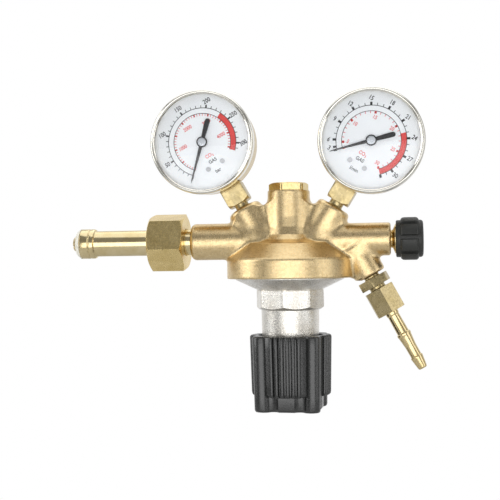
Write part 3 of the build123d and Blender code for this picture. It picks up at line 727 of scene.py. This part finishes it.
def adjusting_knob():
    angles = steps_round(1080)
    pillars = np.zeros_like(angles)
    ribs = np.full_like(angles, VALLEY_R)
    foot = prism_radius(4, FOOT_AF, angles, 0.0)
    cove_at = np.hypot(*COVE_AT)
    for quarter in range(4):
        facing = quarter * pi / 2
        pillars = filled(pillars, angles, PILLAR_R, PILLAR_AT, facing + pi / 4)
        for rib in range(RIBS):
            bearing = facing + radians((rib - (RIBS - 1) / 2) * RIB_STEP)
            ribs = filled(ribs, angles, RIB_R, RIB_TIP - RIB_R, bearing)
        for side in (-1, 1):
            bearing = facing + np.arctan2(side * COVE_AT[1], COVE_AT[0])
            foot = hollowed(foot, angles, COVE_R, cove_at, bearing)
    grip = np.maximum(pillars, ribs)
    base = np.maximum(pillars, np.minimum(foot, FOOT_CORNER_R))
    panel = np.where(pillars > ribs, 0.0, 1.0)
    outline = [(SCREW_R, KNOB_BORE_TOP), (SKIRT_R, KNOB_BORE_TOP), (SKIRT_R, KNOB_TOP - 0.5),
               (20.5, KNOB_TOP)]

    def level(section, z, inset=0.0):
        outline.append((section - (KNOB_TOP - z) * TAPER - inset, z))

    for drop, inset in ((0, 1.5), (0.12, 0.8), (0.5, 0.25), (1.1, 0.0)):
        level(grip, KNOB_TOP - drop, inset)
    for z in np.linspace(-65, -91.8, 5):
        level(grip, z)
    for rise, inset in ((0.7, 0.25), (0.2, 0.8), (0, 1.5)):
        level(grip, PANEL_LOW + rise, inset * panel)
    level(base, PANEL_LOW - 0.1)
    for rise, inset in ((1.6, 0.0), (0.7, 0.3), (0.15, 0.9), (0, 1.8)):
        level(base, KNOB_LOW + rise, inset)
    outline += [(10.0, KNOB_LOW), (9.6, KNOB_LOW + 0.5), (SCREW_R, KNOB_LOW + 0.5)]
    spin = UP @ Matrix.Rotation(radians(KNOB_TURN), 4, "Z")
    piece = lofted("adjusting_knob_grip", circles(outline, angles), spin, sharp=38)
    finish(piece, "adjuster", BIG_KNOB, "black_plastic", "adjusting_knob")


adjusting_knob()


# ---- outlet shut-off valve ---------------------------------------------------------------
SHUT_OFF_R = 12.9
GROOVE_R = 11.2
GROOVE_HALF = 1.1
LOBES = 8
LOBE_TURN = -3.0


def outlet_valve():
    spindle = [(0.01, 44.6), (1.6, 44.6), (1.6, 45.6), (4.0, 45.6), (4.0, 61.7), (5.4, 61.7),
               (5.4, 62.5), (5.7, 62.9), (8.2, 63.9), (8.8, 64.2), (8.8, 64.7), (3.5, 64.7),
               (3.5, 77.0), (0.01, 77.0)]
    piece = turned("spindle_turned", spindle, ALONG, soft=0.12)
    finish(piece, "outlet_spindle", TAIL_BRASS, "machined_brass", "outlet_spindle")
    angles = steps_round(960)
    lobe = 2 * pi / LOBES
    groove = (angles - radians(LOBE_TURN) + lobe / 2) % lobe - lobe / 2
    raised = np.clip((np.abs(groove) - GROOVE_HALF / SHUT_OFF_R) / radians(2.2), 0, 1)
    raised = raised * raised * (3 - 2 * raised)
    lobed = [(GROOVE_R + (high - GROOVE_R) * raised, z) for high, z in
             ((12.0, 67.7), (12.65, 68.5), (12.87, 69.2), (SHUT_OFF_R, 70.2), (SHUT_OFF_R, 76.0),
              (12.87, 76.8), (12.6, 77.5), (11.9, 78.1))]
    outline = [(3.52, 77.0), (3.52, 64.7), (10.3, 64.7), (10.9, 64.85), (11.15, 65.3),
               (GROOVE_R, 67.4), *lobed, (GROOVE_R, 78.4), (GROOVE_R, 79.4), (10.95, 80.2),
               (10.3, 80.75), (9.0, 81.0), (5.0, 81.15), (0.02, 81.2)]
    piece = lofted("shut_off_knob", circles(outline, angles), ALONG, sharp=38)
    finish(piece, "outlet_spindle", SMALL_KNOB, "small_knob_plastic", "outlet_knob")


outlet_valve()


# ---- hose connection ---------------------------------------------------------------------
UNION_AF = 17.3
UNION_HEX = (1.6, 7.0)
UNION_NUT = (9.1, 24.9)


def hose_connection():
    shank = turned("union_shank", [(1.6, -8.0), (5.0, -8.0), (5.0, 0.0), (4.7, 0.3), (4.7, 1.3),
                                   (5.1, 1.6), (5.1, 7.0), (4.9, 7.3), (4.9, 8.8), (5.4, 9.1),
                                   (6.0, 9.6), (6.0, 16.2), (3.6, 16.2), (1.6, 13.7)],
                   OUTLET, closed=True)
    collar = faceted("union_hexagon", OUTLET, 6, UNION_AF, *UNION_HEX, 5.0, low_end=9.5,
                     high_end=9.5, turn=8.0, slope=28, edge=0.1)
    piece = joined("hose_union", [shank, collar])
    finish(piece, "regulator", SOCKET, "machined_brass", "outlet_union")
    start, end = UNION_NUT
    nut = faceted("union_nut_hexagon", OUTLET, 6, UNION_AF, start, end, 6.02, low_end=9.5,
                  high_end=9.3, turn=-6.0, slope=28, edge=0.12,
                  inner=[(3.97, end), (3.97, 19.6), (6.02, 19.6), (6.02, start)])
    finish(nut, "regulator", SOCKET, "machined_brass", "union_nut")
    tail = [(1.4, 13.8), (3.5, 16.2), (5.6, 16.8), (5.9, 17.6), (5.9, 19.5), (3.95, 19.5),
            (3.95, end + 1.7), (3.75, end + 2.1), (3.55, end + 2.4), (3.68, end + 14.3),
            (4.3, end + 14.6), (4.38, end + 14.9), (4.38, end + 15.7), (4.1, end + 16.6),
            (3.4, end + 23.0), (3.3, end + 30.0), (3.75, end + 30.3), (3.83, end + 30.9),
            (3.7, end + 31.7), (2.85, end + 37.6), (2.5, end + 38.4), (1.4, end + 38.4)]
    piece = turned("hose_barb", tail, OUTLET, soft=0.2, closed=True, around=96)
    finish(piece, "regulator", TAIL_BRASS, "machined_brass", "hose_tail")


hose_connection()


# ---- relief valve ------------------------------------------------------------------------
RIDGES = 60
RIDGE_HEIGHT = 0.12
CAP_R = 7.38


def relief_valve():
    sleeve = turned("relief_sleeve", [(1.3, -8.0), (5.0, -8.0), (5.0, 0.0), (5.6, 0.0), (5.6, 5.0),
                                      (6.2, 5.2), (6.2, 12.0), (4.4, 12.0), (4.4, 0.0),
                                      (1.3, 0.0)], RELIEF, closed=True, around=96)
    hexagon = faceted("relief_hexagon", RELIEF, 6, 14.0, 0.0, 5.0, 5.5, low_end=6.8, high_end=6.8,
                      slope=28, edge=0.12)
    piece = joined("relief_housing", [sleeve, hexagon])
    finish(piece, "regulator", HEXAGON, "machined_brass", "relief_body")
    angles = steps_round(240)
    knurl = RIDGE_HEIGHT * np.abs(((angles * RIDGES / (2 * pi)) % 1.0) - 0.5) * 2
    outline = [(0.02, 11.4), (4.2, 11.4), (4.2, 9.0), (4.38, 9.0), (4.38, 12.0), (6.22, 12.0),
               (6.22, 6.0), (7.0, 6.0), (CAP_R - knurl, 6.3), (CAP_R - knurl, 12.9), (7.0, 13.5),
               (6.4, 13.9), (3.9, 14.1), (3.6, 13.5), (0.02, 13.5)]
    piece = lofted("relief_knurled_cap", circles(outline, angles), RELIEF)
    finish(piece, "regulator", TURNED, "machined_brass", "relief_cap")


relief_valve()


# ---- gauges ------------------------------------------------------------------------------
DIAL_TOP = 15.0
PRINT = 0.05                      # thickness of the ink
ZERO = 225.0                      # clockwise from the line of the stem
SWEEP = 270.0
OUTER_R = 20.8                    # foot of the ticks of the outer scale
INNER_R = 17.4                    # foot of the ticks of the inner scale
NAMES_R = 25.2
FULL_BAR = 315
RED_BAR = 230                     # the red band begins here
BAR_PER_PSI = 0.0689476


def clockwise(angle, radius):
    return radius * sin(radians(angle)), radius * cos(radians(angle))


class Print:
    """Ink on a dial, gathered as thin closed tiles in one mesh."""

    def __init__(self):
        self.points, self.faces = [], []

    def tile(self, outline):
        """Thin prism over an outline given clockwise."""
        start, count = len(self.points), len(outline)
        for z in (DIAL_TOP, DIAL_TOP + PRINT):
            self.points += [(x, y, z) for x, y in outline]
        below = list(range(start, start + count))
        above = [i + count for i in below]
        self.faces.append(below)
        self.faces.append(above[::-1])
        for i in range(count):
            j = (i + 1) % count
            self.faces.append([below[j], below[i], above[i], above[j]])

    def arc(self, inner, outer, start, end, step=2.0):
        pieces = max(1, round((end - start) / step))
        for i in range(pieces):
            a, b = (start + (end - start) * k / pieces for k in (i, i + 1))
            self.tile([clockwise(a, inner), clockwise(a, outer), clockwise(b, outer),
                       clockwise(b, inner)])

    def tick(self, angle, inner, outer, width):
        turn = radians(angle)
        side = (cos(turn) * width / 2, -sin(turn) * width / 2)
        low, high = clockwise(angle, inner), clockwise(angle, outer)
        self.tile([(low[0] - side[0], low[1] - side[1]), (high[0] - side[0], high[1] - side[1]),
                   (high[0] + side[0], high[1] + side[1]), (low[0] + side[0], low[1] + side[1])])

    def text(self, words, x, y, size, stretch, weight):
        curve = bpy.data.curves.new("words", "FONT")
        curve.body = words
        curve.size = size
        curve.align_x = "CENTER"
        curve.align_y = "CENTER"
        curve.extrude = PRINT / 2
        curve.offset = weight
        curve.resolution_u = 3
        letters = bpy.data.objects.new("words", curve)
        mesh = bpy.data.meshes.new_from_object(letters)
        spot = (Matrix.Translation((x, y, DIAL_TOP + PRINT / 2))
                @ Matrix.Diagonal((stretch, 1, 1, 1)))
        start = len(self.points)
        self.points += [tuple(spot @ v.co) for v in mesh.vertices]
        self.faces += [[start + i for i in p.vertices] for p in mesh.polygons]
        bpy.data.objects.remove(letters)
        bpy.data.curves.remove(curve)

    def object(self, name, matrix):
        mesh = bpy.data.meshes.new(name)
        mesh.from_pydata(self.points, [], self.faces)
        return new_object(name, mesh, matrix)


def along_scale(*known):
    """Gives the angle of a value, from known (value, degrees past zero) pairs."""
    return lambda value: ZERO + float(np.interp(value, *zip(*known)))


SCALES = {
    "contents": {
        "angle": lambda bar: ZERO + SWEEP * bar / FULL_BAR, "major": range(0, 301, 50),
        "minor": range(0, 316, 10), "names": range(50, 301, 50),
        "red_from": SWEEP * RED_BAR / FULL_BAR, "unit": "bar",
        "inner_angle": lambda psi: ZERO + SWEEP * psi * BAR_PER_PSI / FULL_BAR,
        "inner_major": range(0, 4501, 500), "inner_minor": range(0, 4501, 100),
        "inner_names": range(1000, 4001, 1000), "inner_names_r": 12.3, "bold": 0.95,
    },
    "flow": {
        "angle": along_scale((0, 0.0), (3, 5.0), (6, 16.5), (32, SWEEP)),
        "major": (0, *range(3, 31, 3), 32), "minor": range(6, 33, 1),
        "names": range(3, 31, 3), "red_from": 182.0, "unit": "l/min",
        "inner_angle": along_scale((0, 0.0), (5, 12.2), (10, 60.8), (30, SWEEP)),
        "inner_major": range(0, 31, 5), "inner_minor": range(5, 31, 1),
        "inner_names": range(5, 31, 5), "inner_names_r": 13.8, "bold": 1.35,
    },
}


def dial_print(gauge, matrix):
    scale = SCALES[gauge]
    angle, inner_angle = scale["angle"], scale["inner_angle"]
    black, red = Print(), Print()
    end = ZERO + SWEEP
    black.arc(20.6, 21.0, ZERO, end)
    black.arc(17.3, 17.65, ZERO, end)
    red.arc(17.6, 20.65, ZERO + scale["red_from"], end)
    for value in scale["minor"]:
        black.tick(angle(value), OUTER_R, 22.4, 0.4)
    for value in scale["major"]:
        black.tick(angle(value), OUTER_R, 22.8, scale["bold"])
    for value in scale["inner_minor"]:
        red.tick(inner_angle(value), 16.0, INNER_R, 0.36)
    for value in scale["inner_major"]:
        red.tick(inner_angle(value), 15.9, INNER_R, scale["bold"])
    for value in scale["names"]:
        black.text(str(value), *clockwise(angle(value), NAMES_R), 3.8, 0.82, 0.07)
    for value in scale["inner_names"]:
        red.text(str(value), *clockwise(inner_angle(value), scale["inner_names_r"]), 3.2, 0.85, 0.05)
    red.text("CO", -0.8, -9.3, 3.0, 0.9, 0.06)
    red.text("2", 1.9, -10.1, 1.9, 0.9, 0.06)
    black.text("GAS", 0, -13.1, 3.0, 0.95, 0.07)
    black.text(scale["unit"], 0, -19.8, 3.0, 0.95, 0.05)
    for name, ink, material in (("black", black, BLACK_INK), ("red", red, RED_INK)):
        piece = ink.object(f"{gauge}_print_{name}", matrix)
        finish(piece, "regulator", material, "dial_face")


def gauge_pointer(gauge, matrix):
    spin = matrix @ Matrix.Rotation(radians(-ZERO), 4, "Z")
    low, high = DIAL_TOP + 0.7, DIAL_TOP + 1.1
    blade = [(-1.05, 2.4), (-0.85, 8), (-0.28, 24.0), (0, 25.7), (0.28, 24.0), (0.85, 8), (1.05, 2.4)]
    tail = [(1.5 * cos(a), -13.15 + 1.5 * sin(a)) for a in np.linspace(0, -pi, 13)]
    outline = blade + [(1.0, 0), (1.2, -4), (1.45, -9)] + tail + [(-1.45, -9), (-1.2, -4), (-1.0, 0)]
    count = len(outline)
    points = [(x, y, z) for z in (low, high) for x, y in outline]
    faces = [list(range(count)), list(range(count, 2 * count))[::-1]]
    faces += [[(i + 1) % count, i, count + i, count + (i + 1) % count] for i in range(count)]
    mesh = bpy.data.meshes.new("pointer")
    mesh.from_pydata(points, [], faces)
    hand = new_object("hand", mesh, spin)
    boss = turned("boss", [(0.9, low - 0.2), (3.1, low - 0.2), (3.3, low), (3.3, high + 0.25),
                           (2.9, high + 0.45), (0.9, high + 0.45)], spin, closed=True, around=64)
    piece = joined(f"{gauge}_hand", [hand, boss])
    finish(piece, f"{gauge}_pointer", POINTER, "pointer_black", f"{gauge}_pointer")
    cap = turned(f"{gauge}_hand_cap", [(0.01, high), (2.6, high), (2.6, high + 0.5),
                                       (2.2, high + 0.62), (0.01, high + 0.62)], spin, around=64)
    finish(cap, f"{gauge}_pointer", HUB, "screw_steel")


def add_gauge(name):
    matrix = gauge_frame(name)
    case = [(0.02, -7.5), (28.4, -7.5), (29.6, -7.0), (30.4, -6.1), (30.6, -4.9), (30.6, 12.4),
            (30.6, 16.7), (29.8, 16.7), (29.7, 12.0), (29.6, -5.2), (28.2, -6.5), (0.02, -6.5)]
    piece = turned(f"{name}_case_shell", case, matrix, soft=0.3)
    finish(piece, "regulator", CASE_SIDE, "gauge_case", f"{name}_case")
    bezel = [(30.62, 12.5), (31.5, 12.5), (31.75, 12.8), (31.75, 17.7), (31.5, 18.6), (30.9, 19.25),
             (30.3, 19.5), (29.8, 19.35), (29.05, 18.75), (29.0, 18.45), (30.62, 18.45)]
    piece = turned(f"{name}_bezel_ring", bezel, matrix, soft=0.25, closed=True, around=192)
    finish(piece, "regulator", CASE, "gauge_case", f"{name}_bezel")
    lens = [(0.02, 16.8), (30.5, 16.8), (30.5, 18.4), (29.0, 18.4), (26.0, 18.6), (14.0, 18.82),
            (0.02, 18.9)]
    piece = turned(f"{name}_window", lens, matrix, soft=0.0, around=192, sharp=60)
    piece.visible_shadow = False
    finish(piece, "regulator", LENS, "gauge_lens", f"{name}_lens")
    gauge_stem(name, matrix)
    gauge_pointer(name, matrix)
    dial_print(name, matrix)
    plug = turned(f"{name}_vent_plug", [(0.02, -6.4), (3.9, -6.4), (3.9, -7.5), (5.2, -7.5),
                                        (5.2, -7.9), (4.8, -8.1), (1.4, -8.1), (1.0, -7.8),
                                        (0.02, -7.8)], matrix @ Matrix.Translation((0, 14, 0)),
                  around=64)
    finish(plug, "regulator", RUBBER, "rubber", f"{name}_blowout_disc")


def gauge_stem(name, matrix):
    reach = STEM_REACH[name]
    down = matrix @ Matrix.Rotation(radians(90), 4, "X")
    block = faceted(f"{name}_block", down, 4, 14.0, 30.4, reach - 3.2, 1.5, low_end=9.4,
                    high_end=7.6, slope=34, low_slope=40, edge=0.35, per_side=24)
    shank = turned(f"{name}_shank", [(1.5, 22.5), (5.4, 22.5), (5.4, 31.0), (4.9, reach - 3.7),
                                     (4.3, reach - 2.9), (4.3, reach - 0.9), (4.8, reach),
                                     (4.8, reach + 8.9), (1.5, reach + 8.9)], down,
                   closed=True, around=96)
    socket = slab(f"{name}_socket", (-5.5, -29.0, -5.5), (5.5, -20.5, 1.0), matrix)
    bed = slab(f"{name}_bed", (-4.0, -23.0, -1.0), (4.0, -11.0, 1.0), matrix)
    piece = joined(f"{name}_stem_block", [block, shank, socket, bed])
    finish(piece, "regulator", SOCKET, "machined_brass", f"{name}_stem")


for gauge_name in GAUGE_TILT:
    add_gauge(gauge_name)


# ---- CAD pieces that keep their shape ----------------------------------------------------
CAD_FINISHES = {
    "spring_steel": metre_steel("spring_steel", (0.46, 0.46, 0.48), 0.32),
    "screw_steel": metre_steel("screw_steel", (0.50, 0.50, 0.52), 0.36),
    "machined_brass": metre_steel("inner_brass", (0.80, 0.64, 0.36), 0.28),
    "copper": metre_steel("copper", (0.80, 0.42, 0.27), 0.35),
    "rubber": metre_soft("inner_rubber", (0.02, 0.02, 0.02), 0.72),
    "white_plastic": metre_soft("inner_plastic", (0.80, 0.77, 0.68), 0.4),
    "dial_face": DIAL,
}
SLOTS = {s["node"]: s["material_slot"] for s in frame["record"]["subparts"]}
for node, thing in frame["nodes"].items():
    if SLOTS.get(node) in CAD_FINISHES:
        for slot in thing.material_slots:
            slot.material = CAD_FINISHES[SLOTS[node]]


# ---- springs -----------------------------------------------------------------------------
COILS = 6
COIL_STEPS = 48                   # to each coil


def coil_spring(node, frame_matrix, mean_r, wire_r, low, high):
    """Round wire spring."""
    along = np.linspace(0, 1, COILS * COIL_STEPS + 1)
    whole = 2 * pi * COILS
    angle = whole * along
    rise = high - low - 2 * wire_r
    slope = rise / (whole * mean_r)
    outward = np.stack([np.cos(angle), np.sin(angle), 0 * angle], axis=1)
    tangent = np.stack([-np.sin(angle), np.cos(angle), slope + 0 * angle], axis=1)
    tangent /= np.linalg.norm(tangent, axis=1)[:, None]
    across = np.cross(tangent, outward)
    path = mean_r * outward
    path[:, 2] = low + wire_r + rise * along
    spin = steps_round(14)
    rings = [p + wire_r * (np.cos(spin)[:, None] * o + np.sin(spin)[:, None] * a)
             for p, o, a in zip(path, outward, across)]
    piece = lofted(f"{node}_wire", rings, frame_matrix)
    finish(piece, "regulator", SPRING, "spring_steel", node)
    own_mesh(piece)


coil_spring("main_spring", UP, 10.9, 1.6, -51.95, -20.55)
coil_spring("poppet_spring", UP, 3.2, 0.5, 14.05, 25.95)
coil_spring("relief_spring", RELIEF, 2.6, 0.4, 2.65, 11.35)


# ---- stage -------------------------------------------------------------------------------
FLOOR_Z = -450.0
FLOOR_R = 1000.0


def stage():
    floor = turned("floor", [(1, 0), (FLOOR_R, 0), (FLOOR_R, -2), (1, -2)], place(0, 0, FLOOR_Z),
                   soft=0)
    shade = Shade("floor", (0.62, 0.62, 0.62), 0.85)
    shade.bump(shade.noise(0.06, detail=2), 0.02, 1.0)
    floor.data.materials.append(shade.material)


def softbox(name, spot, size, radiance, aim):
    """Rectangular lamp of even brightness, which the camera itself doesn't see."""
    data = bpy.data.lights.new(name, "AREA")
    data.shape = "RECTANGLE"
    data.size, data.size_y = size
    data.energy = radiance * pi * size[0] * size[1]
    lamp = bpy.data.objects.new(name, data)
    bpy.context.collection.objects.link(lamp)
    way = Vector(aim) - Vector(spot)
    lamp.matrix_world = Matrix.Translation(spot) @ way.to_track_quat("-Z", "Y").to_matrix().to_4x4()
    lamp.visible_camera = False


def mapped(tree, source, **ends):
    """Map Range node fed from a socket, with the named ends set."""
    spread = tree.nodes.new("ShaderNodeMapRange")
    for key, value in ends.items():
        spread.inputs[key.replace("_", " ")].default_value = value
    tree.links.new(source, spread.inputs["Value"])
    return spread


def studio():
    """Pure white to the camera, and to all else a room that is dim in front of the regulator
    and bright behind it, with soft panels in front, above and beside."""
    world = bpy.data.worlds.new("studio")
    bpy.context.scene.world = world
    world.use_nodes = True
    tree = world.node_tree
    split = tree.nodes.new("ShaderNodeSeparateXYZ")
    way = tree.nodes.new("ShaderNodeTexCoord").outputs["Generated"]
    tree.links.new(way, split.inputs["Vector"])
    room = mapped(tree, split.outputs["Y"], From_Max=0.8, To_Min=0.25, To_Max=0.85)
    seen = tree.nodes.new("ShaderNodeLightPath").outputs["Is Camera Ray"]
    tone = mapped(tree, seen, To_Max=1.0)
    tree.links.new(room.outputs["Result"], tone.inputs["To Min"])
    background = tree.nodes["Background"].inputs
    tree.links.new(tone.outputs["Result"], background["Strength"])
    background["Color"].default_value = (1, 1, 1, 1)
    middle = (AXIS_X * MM, 0, 0.0)
    softbox("front", (0.25, -1.15, -0.38), (1.5, 1.25), 1.85, middle)
    softbox("above", (0.10, 0.05, 1.15), (1.5, 1.7), 0.95, middle)
    softbox("left", (-0.95, -0.30, 0.30), (0.5, 1.0), 2.6, middle)
    softbox("right", (1.15, -0.35, 0.15), (0.5, 1.0), 1.3, middle)
    bpy.context.scene.view_settings.view_transform = "Standard"


stage()
studio()
